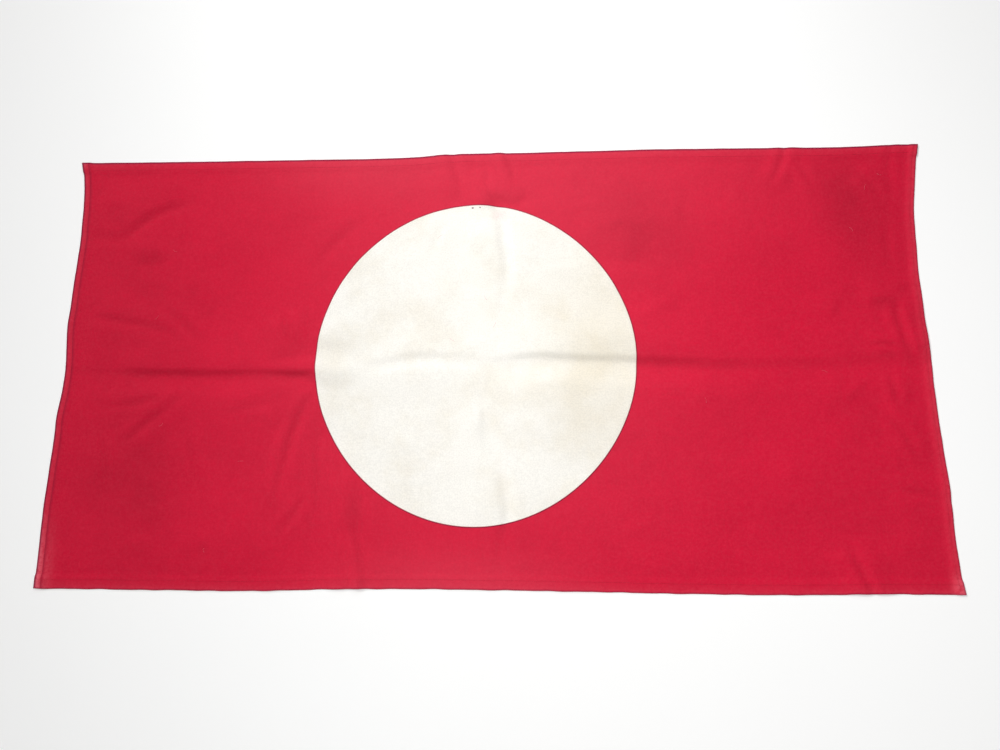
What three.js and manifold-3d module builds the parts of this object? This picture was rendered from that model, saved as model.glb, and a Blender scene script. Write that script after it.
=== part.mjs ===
// A two-to-one flag of plain-woven red cotton with a white cotton disc sewn to its face. It lies face
// up on a flat surface, opened out after long storage folded in quarters. The two long folds are
// still there, as valleys between raised shoulders, and small creases run out from them.
// Millimetres. +X runs along the flag from the pole edge to the free edge, +Y from its lower edge to
// its upper edge, +Z out of its face. The origin is on the surface, under the middle of the flag.

import * as THREE from 'three';
import { mergeVertices } from 'three/addons/utils/BufferGeometryUtils.js';
import Module from 'manifold-3d';

// Driving dimensions.
const LENGTH = 1500; // pole edge to free edge, hemmed
const DROP = 760; // lower edge to upper edge, hemmed
const CLOTH = 1.2; // one layer of red cotton with its nap and fine crumple
const HEM_EXTRA = 0.6; // what the turned-in layer of a hem adds
const POLE_HEM = 13; // width of the hem on the pole edge
const FREE_HEM = 9; // width of the hem on the free edge
const LONG_HEM = 17; // width of the hems on the upper and lower edges
const HEM_STEP = 2.5; // run of the slope off a hem
const DISC_WIDTH = 548; // the white disc along the flag
const DISC_HEIGHT = 558; // and across it
const DISC_CENTRE = [-22, 1.5];
const DISC_CLOTH = 1; // thickness of the white cotton
const DISC_SQUARENESS = 2.5; // how far the cut outline draws in on its diagonals
const DISC_STEPS = 96; // straight cuts round the disc
const CUT_HEIGHT = 50; // well above every fold
const GAP = 0.3; // between the red cloth and the disc

// The grid of the cloth: places where its spacing changes, and the steps from each to the next. It is
// closest across the two long folds.
const HALF_LENGTH = LENGTH / 2;
const HALF_DROP = DROP / 2;
const COLUMNS = stations([
  [-HALF_LENGTH, 1],
  [-HALF_LENGTH + POLE_HEM, 1],
  [-HALF_LENGTH + POLE_HEM + HEM_STEP, 10],
  [-340, 9],
  [-60, 11],
  [90, 9],
  [560, 5],
  [HALF_LENGTH - FREE_HEM - HEM_STEP, 1],
  [HALF_LENGTH - FREE_HEM, 1],
  [HALF_LENGTH, 0],
]);
const ROWS = stations([
  [-HALF_DROP, 1],
  [-HALF_DROP + LONG_HEM, 1],
  [-HALF_DROP + LONG_HEM + HEM_STEP, 8],
  [-70, 11],
  [40, 9],
  [HALF_DROP - LONG_HEM - HEM_STEP, 1],
  [HALF_DROP - LONG_HEM, 1],
  [HALF_DROP, 0],
]);

// How far each edge lies outside the cut rectangle, as [place along the edge, distance].
const POLE_EDGE = [
  [-380, 2], [-330, 1.5], [-250, 1.5], [-210, 0], [-130, -3.5], [-90, -4], [-50, -9], [0, -10.5],
  [30, -8], [70, -5.5], [110, -7.5], [150, -8.5], [190, -10.5], [230, -12], [270, -11.5],
  [310, -10], [350, -6], [380, 0.5],
];
const FREE_EDGE = [
  [-380, 1.5], [-350, -2], [-290, -5], [-210, -5.5], [-170, -8], [-130, -10.5], [-50, -13.5],
  [-10, -13], [30, -15], [70, -17], [110, -17.5], [150, -19], [190, -17.5], [230, -17],
  [270, -14.5], [310, -9], [350, -3.5], [380, 2],
];
const UPPER_EDGE = [
  [-750, -2], [-680, -3], [-560, -4], [-440, -4.5], [-260, -5.5], [-200, -5.5], [-140, -4.5],
  [-80, -1.5], [-20, 0.5], [60, 0], [280, 1.5], [400, 0.5], [500, -0.5], [580, -1.5],
  [640, -1], [700, 0.5], [750, 0.5],
];
const LOWER_EDGE = [
  [-750, 0], [-560, 1], [-400, 1.5], [-340, 0.5], [-260, -2], [-140, -3.5], [-20, -3],
  [100, -2], [220, -0.5], [340, 1], [460, 1.5], [520, 1], [620, -1], [750, -1],
];

// What stands up from the surface. Each fold is raised along its route of [x, y, height] and falls
// to nothing at its spread on either side.
const FOLDS = [
  // the upper and the lower shoulder of the long fold across the flag
  { spread: 34, route: [
    [-740, 0, 1], [-625, -5, 2], [-520, -9, 4], [-380, -9, 4.5], [-310, -10, 5.5],
    [-250, -12, 3.5], [-180, 8, 2], [-120, 18, 2.5], [-60, 16, 2], [0, 10, 1.5], [45, 13, 3.5],
    [90, 17, 4.5], [150, 16, 4.5], [220, 24, 5], [290, 14, 5], [350, 5, 3.5], [430, 3, 2.5],
    [560, 5, 2], [732, 11, 2]] },
  { spread: 64, route: [
    [-740, -58, 0.5], [-625, -64, 2], [-520, -68, 3.5], [-380, -68, 3.5], [-310, -55, 3],
    [-180, -28, 2], [-120, -18, 2.5], [0, -40, 2], [90, -44, 5], [220, -52, 5.5],
    [290, -55, 5.5], [350, -57, 4.5], [430, -60, 3], [560, -58, 2.5], [732, -52, 2]] },
  // the left and the right shoulder of the long fold down it
  { spread: 36, route: [
    [14, 285, 2.5], [17, 230, 3], [18, 165, 2.5], [12, 110, 1.5], [2, 20, 1], [-16, -80, 1],
    [8, -190, 2.5], [17, -230, 2.5], [18, -268, 2], [8, -300, 1], [12, -380, 1]] },
  { spread: 42, route: [
    [50, 285, 3], [54, 230, 3.5], [54, 165, 3], [48, 110, 2], [40, 20, 1.5], [22, -80, 1.5],
    [44, -190, 3], [54, -230, 3.5], [54, -268, 3], [44, -300, 1.5], [48, -380, 1.5]] },
  { spread: 34, route: [[-60, 352, 0], [-26, 334, 3.5], [36, 310, 4], [64, 303, 3.5], [110, 300, 0]] },
  // a fan of creases from the left of the disc down to the lower edge
  { spread: 34, route: [[-304, -50, 0], [-325, -105, 3.5], [-345, -190, 2.5], [-350, -250, 0]] },
  { spread: 30, route: [[-298, -80, 0], [-292, -150, 3.5], [-284, -230, 3], [-282, -300, 0]] },
  { spread: 34, route: [
    [-285, -105, 0], [-262, -190, 4], [-235, -270, 4], [-218, -330, 3], [-210, -380, 2]] },
  // a crooked crease across the upper corner at the pole edge
  { spread: 38, route: [
    [-738, 222, 2], [-665, 228, 4], [-620, 262, 4.5], [-560, 282, 3.5], [-500, 305, 0]] },
  // creases beside the pole edge
  { spread: 34, route: [[-728, 92, 2], [-690, 86, 4], [-600, 66, 3.5], [-545, 46, 0]] },
  { spread: 28, route: [[-706, 92, 2], [-702, 50, 3], [-684, 5, 0]] },
  { spread: 34, route: [[-500, -35, 0], [-560, -85, 3.5], [-615, -128, 2.5], [-650, -155, 0]] },
  // creases that run off the disc
  { spread: 34, route: [[-235, 240, 0], [-270, 205, 3], [-305, 175, 0]] },
  { spread: 34, route: [[-338, 120, 0], [-326, 55, 3], [-305, 5, 0]] },
  { spread: 34, route: [[185, 138, 0], [245, 122, 2.5], [320, 102, 0]] },
  { spread: 36, route: [[-86, 378, 2], [-66, 335, 3], [-48, 300, 0]] },
  // the sharp crease down beside the free edge
  { spread: 32, route: [
    [702, 380, 2], [698, 300, 3], [690, 210, 3.5], [682, 140, 4.5], [688, 70, 5], [703, 0, 0]] },
  // creases near the free edge
  { spread: 34, route: [[524, 380, 2], [512, 345, 3], [488, 305, 0]] },
  { spread: 32, route: [[650, -22, 0], [678, -62, 3.5], [704, -115, 0]] },
  { spread: 32, route: [[645, -92, 0], [682, -142, 3.5], [712, -190, 0]] },
  { spread: 30, route: [[660, -210, 0], [702, -228, 4.5], [742, -236, 3]] },
  { spread: 34, route: [[574, -290, 0], [592, -340, 4.5], [606, -380, 3]] },
];

// Every place of a grid line, from stops of [place, steps to the next stop].
function stations(stops) {
  const places = [];
  stops.forEach(([place, steps], i) => {
    for (let k = 0; k < steps; k += 1) {
      places.push(THREE.MathUtils.lerp(place, stops[i + 1][0], k / steps));
    }
  });
  places.push(stops[stops.length - 1][0]);
  return places;
}

// The distance that an edge's table gives at one place along it.
function edgeAt(table, place) {
  const next = Math.max(1, table.findIndex(([end]) => end >= place));
  const [[from, low], [to, high]] = [table[next - 1], table[next]];
  return THREE.MathUtils.mapLinear(place, from, to, low, high);
}

// Where a point of the cut rectangle lies in plan once the edges have drawn in.
function laid(column, row) {
  const across = column / LENGTH + 0.5;
  const up = row / DROP + 0.5;
  const x = column - (1 - across) * edgeAt(POLE_EDGE, row) + across * edgeAt(FREE_EDGE, row);
  const y = row - (1 - up) * edgeAt(LOWER_EDGE, column) + up * edgeAt(UPPER_EDGE, column);
  return [x, y];
}

// How high one fold lifts the cloth at a point.
function lift({ spread, route }, x, y) {
  const heights = route.slice(1).map(([bx, by, bHeight], i) => {
    const [ax, ay, aHeight] = route[i];
    const run = [bx - ax, by - ay];
    const along = ((x - ax) * run[0] + (y - ay) * run[1]) / (run[0] ** 2 + run[1] ** 2);
    const t = THREE.MathUtils.clamp(along, 0, 1);
    const away = Math.hypot(x - ax - t * run[0], y - ay - t * run[1]);
    const crest = THREE.MathUtils.lerp(aHeight, bHeight, t);
    return crest * Math.max(0, 1 - away / spread) ** 1.5;
  });
  return Math.max(...heights);
}

// The height of the red cloth's underside. It is nothing wherever no fold reaches.
function underside(x, y) {
  return Math.hypot(...FOLDS.map((fold) => lift(fold, x, y)));
}

// The thickness of the red cloth, more on the hems and most where two hems cross at a corner.
function thickness(column, row) {
  const onPoleHem = column <= -HALF_LENGTH + POLE_HEM;
  const onFreeHem = column >= HALF_LENGTH - FREE_HEM;
  const onLongHem = Math.abs(row) >= HALF_DROP - LONG_HEM;
  return CLOTH + (onPoleHem || onFreeHem ? HEM_EXTRA : 0) + (onLongHem ? HEM_EXTRA : 0);
}

// A closed sheet over the whole grid, between two heights above the red cloth's underside.
function sheet(low, high) {
  const grid = new THREE.PlaneGeometry(1, 1, COLUMNS.length - 1, ROWS.length - 1);
  const count = grid.attributes.position.count;
  const positions = new Float32Array(6 * count);
  for (let i = 0; i < count; i += 1) {
    const column = COLUMNS[i % COLUMNS.length];
    const row = ROWS[ROWS.length - 1 - Math.floor(i / COLUMNS.length)];
    const [x, y] = laid(column, row);
    const floor = underside(x, y);
    positions.set([x, y, floor + high(column, row)], 3 * i);
    positions.set([x, y, floor + low(column, row)], 3 * (count + i));
  }
  const top = Array.from(grid.index.array);
  const bottom = top.map((i) => i + count).reverse();
  const rim = border(COLUMNS.length, ROWS.length).flatMap((i, k, loop) => {
    const j = loop[(k + 1) % loop.length];
    return [i + count, j + count, j, i + count, j, i];
  });
  const geometry = new THREE.BufferGeometry();
  geometry.setAttribute('position', new THREE.BufferAttribute(positions, 3));
  geometry.setIndex([...top, ...bottom, ...rim]);
  return geometry;
}

// The border vertices of a grid whose first row is the uppermost, in anticlockwise order.
function border(columns, rows) {
  const last = columns * (rows - 1);
  const lower = Array.from({ length: columns - 1 }, (_, k) => last + k);
  const right = Array.from({ length: rows - 1 }, (_, k) => columns * (rows - k) - 1);
  const upper = Array.from({ length: columns - 1 }, (_, k) => columns - 1 - k);
  const left = Array.from({ length: rows - 1 }, (_, k) => columns * k);
  return [...lower, ...right, ...upper, ...left];
}

// An upright prism with the disc's outline, which draws in a little on its diagonals.
function discPrism() {
  const points = Array.from({ length: DISC_STEPS }, (_, k) => {
    const turn = (2 * Math.PI * k) / DISC_STEPS;
    const drawnIn = DISC_SQUARENESS * (1 - Math.cos(4 * turn)) / 2;
    return new THREE.Vector2(
      DISC_CENTRE[0] + (DISC_WIDTH / 2 - drawnIn) * Math.cos(turn),
      DISC_CENTRE[1] + (DISC_HEIGHT / 2 - drawnIn) * Math.sin(turn),
    );
  });
  const outline = new THREE.Shape(points);
  return new THREE.ExtrudeGeometry(outline, { depth: CUT_HEIGHT, bevelEnabled: false });
}

const wasm = await Module();
wasm.setup();

// A closed geometry as a solid that can be joined and cut.
function solid(geometry) {
  const bare = geometry.clone();
  bare.deleteAttribute('normal');
  bare.deleteAttribute('uv');
  const merged = mergeVertices(bare);
  return new wasm.Manifold(new wasm.Mesh({
    numProp: 3,
    vertProperties: new Float32Array(merged.attributes.position.array),
    triVerts: new Uint32Array(merged.index.array),
  }));
}

// A solid back as a geometry.
function geometryOf(body) {
  const { vertProperties, triVerts } = body.getMesh();
  const geometry = new THREE.BufferGeometry();
  geometry.setAttribute('position', new THREE.BufferAttribute(vertProperties, 3));
  geometry.setIndex(new THREE.BufferAttribute(triVerts, 1));
  return geometry;
}

// One piece of cloth as a named mesh with flat-shaded faces.
function piece(name, geometry, color) {
  const material = new THREE.MeshStandardMaterial({
    color, roughness: 0.9, metalness: 0, flatShading: true,
  });
  const mesh = new THREE.Mesh(geometry, material);
  mesh.name = name;
  return mesh;
}

// The red cloth, with its hems.
function redField() {
  return piece('red_field', sheet(() => 0, thickness), '#c41d38');
}

// The white disc, which follows the red cloth's face a gap above it.
function whiteDisc() {
  const low = CLOTH + GAP;
  const high = low + DISC_CLOTH;
  const cover = solid(sheet(() => low, () => high));
  return piece('white_disc', geometryOf(cover.intersect(solid(discPrism()))), '#f7f3ea');
}

const flag = new THREE.Group();
flag.add(redField(), whiteDisc());

export default flag;
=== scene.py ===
"""A worn two-to-one flag of red cotton with a white cotton disc sewn to its face, laid out face up.

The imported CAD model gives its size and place. This file makes what is seen: the hemmed red cloth with
the folds and creases that long storage has left, the disc that follows them, the stitching and a little
lint, on a plain pale floor.
"""

import math
import random

import bmesh
import bpy
import numpy as np
from mathutils import Matrix, Vector, noise
from mathutils.bvhtree import BVHTree


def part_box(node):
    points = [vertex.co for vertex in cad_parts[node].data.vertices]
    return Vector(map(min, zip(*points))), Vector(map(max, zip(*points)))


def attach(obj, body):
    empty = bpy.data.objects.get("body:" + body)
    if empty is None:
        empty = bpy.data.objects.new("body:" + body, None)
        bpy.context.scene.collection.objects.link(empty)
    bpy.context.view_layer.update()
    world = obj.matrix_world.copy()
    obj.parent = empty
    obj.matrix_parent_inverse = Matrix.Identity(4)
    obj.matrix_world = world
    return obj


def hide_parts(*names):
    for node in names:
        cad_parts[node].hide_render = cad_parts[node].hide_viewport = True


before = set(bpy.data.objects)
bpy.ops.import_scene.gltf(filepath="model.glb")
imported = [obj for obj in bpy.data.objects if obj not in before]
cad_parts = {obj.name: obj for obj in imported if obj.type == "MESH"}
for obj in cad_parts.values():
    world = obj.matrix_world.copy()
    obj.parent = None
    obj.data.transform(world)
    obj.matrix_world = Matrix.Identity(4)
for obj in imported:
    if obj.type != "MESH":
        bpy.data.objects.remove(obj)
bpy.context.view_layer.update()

bl_info = {
    "name": "Cotton flag",
    "version": (1, 0, 0),
    "blender": (4, 5, 0),
    "location": "3D View > Sidebar > Flag",
    "description": "Builds a worn cotton flag with a sewn-on disc, laid out flat",
    "category": "Add Mesh",
}

MM = 0.001

# ---------------------------------------------------------------------------------------------------
# The flag's plan, from the frame
# ---------------------------------------------------------------------------------------------------

CORNER_FLARE = 2.0 * MM  # how far the corners reach past the hemmed rectangle along the flag
EDGE_SWELL = 1.5 * MM  # how far the upper and lower edges reach past it
FIELD_LOW, FIELD_HIGH = (Vector(corner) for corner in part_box("red_field"))
DISC_LOW, DISC_HIGH = (Vector(corner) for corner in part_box("white_disc"))
HALF_LENGTH = (FIELD_HIGH.x - FIELD_LOW.x) / 2 - CORNER_FLARE
HALF_DROP = (FIELD_HIGH.y - FIELD_LOW.y) / 2 - EDGE_SWELL
DISC_CENTRE = (DISC_LOW + DISC_HIGH).xy / 2
DISC_RADII = (DISC_HIGH - DISC_LOW).xy / 2
DISC_SQUARENESS = 2.5 * MM  # how far the hand-cut outline draws in on its diagonals

# How far each edge lies outside the hemmed rectangle, in mm, as (place along the edge, distance).
POLE_EDGE = (
    (-380, 2), (-330, 1.5), (-250, 1.5), (-210, 0), (-130, -3.5), (-90, -4), (-50, -9), (0, -10.5),
    (30, -8), (70, -5.5), (110, -7.5), (150, -8.5), (190, -10.5), (230, -12), (270, -11.5),
    (310, -10), (350, -6), (380, 0.5),
)
FREE_EDGE = (
    (-380, 1.5), (-350, -2), (-290, -5), (-210, -5.5), (-170, -8), (-130, -10.5), (-50, -13.5),
    (-10, -13), (30, -15), (70, -17), (110, -17.5), (150, -19), (190, -17.5), (230, -17),
    (270, -14.5), (310, -9), (350, -3.5), (380, 2),
)
UPPER_EDGE = (
    (-750, -2), (-680, -3), (-560, -4), (-440, -4.5), (-260, -5.5), (-200, -5.5), (-140, -4.5),
    (-80, -1.5), (-20, 0.5), (60, 0), (280, 1.5), (400, 0.5), (500, -0.5), (580, -1.5), (640, -1),
    (700, 0.5), (750, 0.5),
)
LOWER_EDGE = (
    (-750, 0), (-560, 1), (-400, 1.5), (-340, 0.5), (-260, -2), (-140, -3.5), (-20, -3), (100, -2),
    (220, -0.5), (340, 1), (460, 1.5), (520, 1), (620, -1), (750, -1),
)

# ---------------------------------------------------------------------------------------------------
# Folds and creases
# ---------------------------------------------------------------------------------------------------

DOWN_FOLD = (-22 * MM, 62 * MM)  # from where to where along X the mesh is finer for the fold down the flag
ACROSS_FOLD = (-58 * MM, 28 * MM)  # and along Y for the fold across it
SMALL_CREASES = 110  # how many short shallow creases lie between the ones below
RELIEF = 1.2  # how many times higher the folds stand than their cross sections say
DEEP_VALLEY = 3.5  # the depth in mm from which a valley's line takes its full painted shade and soil
VALLEY_SHADE_WIDTH = 5.5  # how far in mm the painted shade and soil reach to either side of such a line

# Each crease is a cross section and a route. The cross section gives (distance, height) in mm, with the
# distance counted to the left of the route. The route gives (x, y, share) in mm, where share is how much
# of the cross section's height is left there. A valley has a shoulder on either side of its line.
CREASES = {
    # the long fold across, from the pole edge to the disc
    "across_pole": (
        ((-170, 0), (-44, 3.2), (0, 0), (15, 3.7), (110, 0)),
        ((-746, -14, 0.15), (-660, -18, 0.2), (-625, -20, 0.6), (-590, -22, 0.9), (-520, -24, 1),
         (-450, -25, 1), (-380, -25, 0.8), (-340, -25, 0.2), (-320, -25, 0)),
    ),
    # the same fold where the disc's edge stiffens it
    "across_seam": (
        ((-90, 0), (-30, 2.4), (0, 0), (13, 4.2), (40, 0)),
        ((-420, -24, 0), (-370, -25, 0.7), (-330, -26, 1), (-306, -26, 1), (-290, -27, 0.4),
         (-275, -28, 0)),
    ),
    # and across the disc to the free edge
    "across_disc_left": (
        ((-34, 0), (0, 2.8), (30, 0)),
        ((-318, -10, 0), (-292, -13, 1), (-262, -16, 1), (-225, -18, 0.5), (-190, -18, 0)),
    ),
    "across_disc": (
        ((-90, 0), (-20, 2.0), (0, 0), (14, 1.4), (70, 0)),
        ((-240, -14, 0), (-180, -6, 0.8), (-120, 4, 1), (-60, 2, 0.9), (0, -4, 0.6), (50, -4, 0)),
    ),
    "across_free": (
        ((-210, 0), (-44, 5.4), (0, 0), (17, 4.0), (130, 0)),
        ((-10, -8, 0), (45, -4, 0.7), (90, 0, 1), (150, -4, 1), (220, -6, 1), (290, -10, 1),
         (350, -12, 0.8), (430, -14, 0.5), (560, -12, 0.35), (650, -8, 0.2), (744, -6, 0.15)),
    ),
    "across_disc_right": (
        ((-44, 0), (0, 3.6), (60, 0)),
        ((140, 34, 0), (195, 38, 0.9), (236, 37, 1), (290, 34, 1), (330, 30, 0.6), (390, 22, 0)),
    ),
    # the long fold down the flag, shifted sideways at the disc's upper edge
    "down_disc": (
        ((-100, 0), (-16, 2.4), (0, 0), (20, 2.4), (115, 0)),
        ((18, 300, 0), (16, 272, 0.8), (26, 244, 1.1), (27, 215, 1.1), (34, 180, 1),
         (34, 150, 0.6), (28, 110, 0.4), (18, 20, 0.3), (0, -80, 0.35), (4, -150, 0.4),
         (24, -190, 0.8), (33, -230, 1), (34, -268, 0.7), (24, -300, 0.2), (22, -340, 0.2),
         (28, -384, 0.1)),
    ),
    "down_above": (
        ((-50, 0), (0, 3.8), (19, 0.2), (34, 1.6), (60, 0)),
        ((-24, 350, 0), (-17, 330, 0.7), (-9, 308, 1), (-2, 290, 1), (4, 274, 0)),
    ),
    "down_above_tail": (
        ((-16, 0), (0, 4.0), (50, 0)),
        ((-14, 322, 0), (4, 311, 0.9), (22, 300, 1), (40, 290, 0.8), (56, 280, 0)),
    ),
    "down_above_left": (
        ((-44, 0), (0, 3.0), (15, 0.3), (28, 1.8), (50, 0)),
        ((-80, 386, 0.8), (-73, 350, 1), (-62, 318, 0.9), (-52, 294, 0)),
    ),
    "down_above_right": (
        ((-18, 0), (0, 2.6), (14, 0), (30, 0)),
        ((18, 386, 0.8), (27, 354, 1), (36, 330, 0.8), (46, 308, 0)),
    ),
    # a fan of creases from the disc's edge down to the lower edge
    "fan_outer": (
        ((-34, 0), (-12, 3.2), (0, 0), (12, 3.0), (60, 0)),
        ((-302, -48, 0), (-314, -80, 0.8), (-329, -125, 1), (-340, -170, 0.8), (-350, -215, 0.4),
         (-354, -260, 0)),
    ),
    "fan_middle": (
        ((-30, 0), (-10, 2.6), (0, 0), (11, 1.6), (36, 0)),
        ((-294, -128, 0), (-288, -160, 0.9), (-283, -200, 1), (-281, -232, 0.9), (-276, -262, 0)),
    ),
    "fan_inner": (
        ((-60, 0), (-28, 1.8), (-14, 0.9), (0, 4.0), (15, 0.3), (44, 0)),
        ((-276, -128, 0), (-262, -165, 0.6), (-254, -195, 0.8), (-243, -240, 1), (-229, -285, 1),
         (-219, -320, 1), (-212, -356, 1), (-209, -384, 0.9)),
    ),
    "fan_low": (
        ((-30, 0), (-11, 1.6), (0, 0), (12, 1.6), (40, 0)),
        ((-292, -212, 0), (-312, -244, 1), (-334, -276, 1), (-362, -298, 0)),
    ),
    "fan_edge": (
        ((-40, 0), (0, 3.6), (26, 0), (50, 0)),
        ((-254, -182, 0), (-242, -205, 0.8), (-234, -240, 1), (-228, -268, 0.8), (-222, -292, 0)),
    ),
    # a crooked crease across the upper corner at the pole edge
    "corner": (
        ((-90, 0), (-13, 1.6), (0, 0), (17, 3.2), (90, 0)),
        ((-735, 236, 0.1), (-690, 230, 0.3), (-656, 231, 0.5), (-636, 246, 1), (-608, 268, 1),
         (-574, 283, 1), (-550, 291, 0.5), (-515, 304, 0)),
    ),
    "corner_low": (
        ((-26, 0), (0, 2.4), (50, 0)),
        ((-650, 214, 0), (-626, 206, 1), (-596, 204, 1), (-566, 212, 0)),
    ),
    "corner_high": (
        ((-40, 0), (0, 2.0), (50, 0)),
        ((-710, 312, 0), (-680, 308, 1), (-650, 300, 0.7), (-620, 292, 0)),
    ),
    # thin creases beside the pole edge
    "pole_thin": (
        ((-60, 0), (-13, 1.6), (0, 0), (10, 1.9), (60, 0)),
        ((-706, 86, 0), (-680, 82, 1), (-640, 74, 0.8), (-600, 67, 1), (-560, 56, 0.8),
         (-545, 52, 0)),
    ),
    "pole_thin_end": (
        ((-40, 0), (-12, 2.0), (0, 0), (10, 2.0), (40, 0)),
        ((-584, 108, 0), (-558, 90, 0.8), (-532, 68, 1), (-508, 46, 1), (-494, 34, 0)),
    ),
    "pole_upright": (
        ((-24, 0), (-9, 1.0), (0, 0), (10, 1.4), (40, 0)),
        ((-712, 100, 0), (-704, 66, 1), (-694, 30, 0.8), (-684, 0, 0)),
    ),
    "pole_slant": (
        ((-50, 0), (-12, 3.0), (0, 0), (11, 2.6), (50, 0)),
        ((-512, -50, 0), (-533, -64, 0.9), (-566, -92, 1), (-602, -122, 1), (-634, -146, 0)),
    ),
    "pole_level": (
        ((-40, 0), (-11, 2.4), (0, 0), (10, 2.4), (40, 0)),
        ((-680, -76, 0), (-648, -76, 0.6), (-612, -71, 1), (-574, -65, 1), (-552, -60, 0)),
    ),
    "seam_level": (
        ((-80, 0), (-18, 2.2), (0, 0), (18, 1.8), (80, 0)),
        ((-470, -92, 0), (-440, -84, 0.8), (-400, -74, 1), (-360, -60, 0.8), (-330, -44, 0)),
    ),
    "pole_hook": (
        ((-60, 0), (-15, 1.7), (0, 0), (14, 1.4), (50, 0)),
        ((-520, -112, 0), (-504, -150, 1), (-490, -200, 1), (-474, -244, 1), (-462, -276, 0)),
    ),
    "pole_loop": (
        ((-50, 0), (-13, 1.8), (0, 0), (13, 1.4), (50, 0)),
        ((-652, -112, 0), (-655, -140, 1), (-650, -180, 1), (-642, -230, 0)),
    ),
    # creases that end at the disc
    "seam_upper_left": (
        ((-70, 0), (-18, 1.6), (0, 0), (14, 1.0), (50, 0)),
        ((-215, 262, 0), (-245, 238, 0.9), (-272, 212, 1), (-296, 184, 0.7), (-320, 150, 0)),
    ),
    "seam_left": (
        ((-44, 0), (-12, 2.6), (0, 0), (12, 2.6), (44, 0)),
        ((-362, 92, 0), (-354, 68, 1), (-344, 40, 1), (-322, 18, 0)),
    ),
    "seam_right_upper": (
        ((-40, 0), (0, 2.6), (24, 0)),
        ((200, 160, 0), (226, 158, 1), (258, 148, 1), (288, 126, 0.8), (312, 98, 0)),
    ),
    "seam_right_lower": (
        ((-44, 0), (0, 2.4), (26, 0)),
        ((214, 54, 0), (244, 64, 1), (276, 82, 1), (310, 104, 0.6), (346, 124, 0)),
    ),
    "seam_right_above": (
        ((-60, 0), (0, 2.4), (60, 0)),
        ((150, 262, 0), (196, 246, 1), (240, 214, 1), (280, 180, 0)),
    ),
    # creases in the disc
    "disc_upper": (
        ((-50, 0), (-10, 1.0), (0, 0), (10, 1.2), (50, 0)),
        ((-60, 262, 0), (-84, 232, 1), (-98, 196, 0.7), (-104, 160, 0)),
    ),
    "disc_left": (
        ((-22, 0), (0, 1.7), (60, 0)),
        ((-312, 46, 0), (-288, 44, 1), (-262, 42, 1), (-225, 36, 0.4), (-190, 32, 0)),
    ),
    "disc_low": (
        ((-40, 0), (-10, 1.1), (0, 0), (10, 1.1), (40, 0)),
        ((-14, -50, 0), (-8, -86, 1), (2, -106, 1), (14, -122, 0)),
    ),
    "disc_right": (
        ((-24, 0), (0, 1.8), (40, 0)),
        ((130, -46, 0), (165, -58, 1), (200, -66, 1), (240, -66, 0)),
    ),
    # the sharp crease beside the free edge, and small ones round it
    "free_sharp": (
        ((-30, 0), (-12, 2.0), (0, 0), (9, 3.6), (60, 0)),
        ((682, 112, 0), (688, 86, 0.9), (694, 54, 1), (702, 22, 1), (708, 4, 0.5), (716, -14, 0)),
    ),
    "free_upright": (
        ((-40, 0), (-10, 0.6), (0, 0), (9, 0.9), (44, 0)),
        ((706, 386, 0.9), (700, 340, 1), (698, 290, 0.6), (690, 240, 0.4), (684, 212, 0.9),
         (685, 180, 0.9), (692, 146, 0)),
    ),
    "free_step": (
        ((-22, 0), (0, 3.0), (60, 0)),
        ((628, 106, 0), (650, 106, 0.9), (676, 102, 1), (694, 94, 0.5), (712, 88, 0)),
    ),
    "free_level": (
        ((-24, 0), (-8, 1.6), (0, 0), (8, 1.6), (24, 0)),
        ((628, 22, 0), (650, 23, 1), (676, 20, 1), (694, 14, 0)),
    ),
    "free_upper_a": (
        ((-34, 0), (-10, 1.6), (0, 0), (10, 1.8), (40, 0)),
        ((524, 382, 0.9), (516, 352, 1), (503, 326, 0.8), (488, 305, 0)),
    ),
    "free_upper_b": (
        ((-30, 0), (-9, 1.4), (0, 0), (9, 1.4), (34, 0)),
        ((542, 358, 0), (552, 338, 1), (563, 316, 0.8), (574, 292, 0)),
    ),
    "free_upper_c": (
        ((-30, 0), (-9, 1.6), (0, 0), (9, 1.8), (34, 0)),
        ((640, 330, 0), (656, 318, 1), (672, 300, 0.9), (684, 276, 0)),
    ),
    "free_middle": (
        ((-30, 0), (-9, 1.8), (0, 0), (9, 2.2), (40, 0)),
        ((664, -18, 0), (671, -44, 1), (677, -70, 0.9), (694, -88, 0)),
    ),
    "free_low": (
        ((-30, 0), (-9, 2.0), (0, 0), (9, 2.2), (40, 0)),
        ((640, -92, 0), (664, -106, 1), (688, -134, 1), (702, -172, 0)),
    ),
    "free_crescent": (
        ((-50, 0), (-10, 1.4), (0, 0), (11, 1.8), (44, 0)),
        ((650, -212, 0), (678, -220, 0.9), (706, -226, 0.8), (746, -238, 0.4)),
    ),
    "free_foot": (
        ((-50, 0), (-11, 2.4), (0, 0), (11, 2.6), (50, 0)),
        ((576, -300, 0), (592, -334, 1), (604, -362, 1), (612, -382, 0.8)),
    ),
    # lazy swells that no crease explains
    "swell_pole": (
        ((-90, 0), (0, 1.6), (90, 0)),
        ((-560, 330, 0), (-500, 150, 1), (-440, 20, 0)),
    ),
    "swell_low": (
        ((-110, 0), (0, 2.0), (110, 0)),
        ((-700, -250, 0), (-560, -290, 1), (-400, -300, 0.8), (-300, -340, 0)),
    ),
    "swell_upper": (
        ((-90, 0), (0, 1.8), (90, 0)),
        ((110, 330, 0), (260, 250, 1), (420, 230, 0.9), (560, 200, 0)),
    ),
    "swell_right": (
        ((-110, 0), (0, 1.8), (110, 0)),
        ((300, -120, 0), (420, -190, 1), (560, -180, 0.9), (640, -120, 0)),
    ),
}

# ---------------------------------------------------------------------------------------------------
# Settings
# ---------------------------------------------------------------------------------------------------


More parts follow.
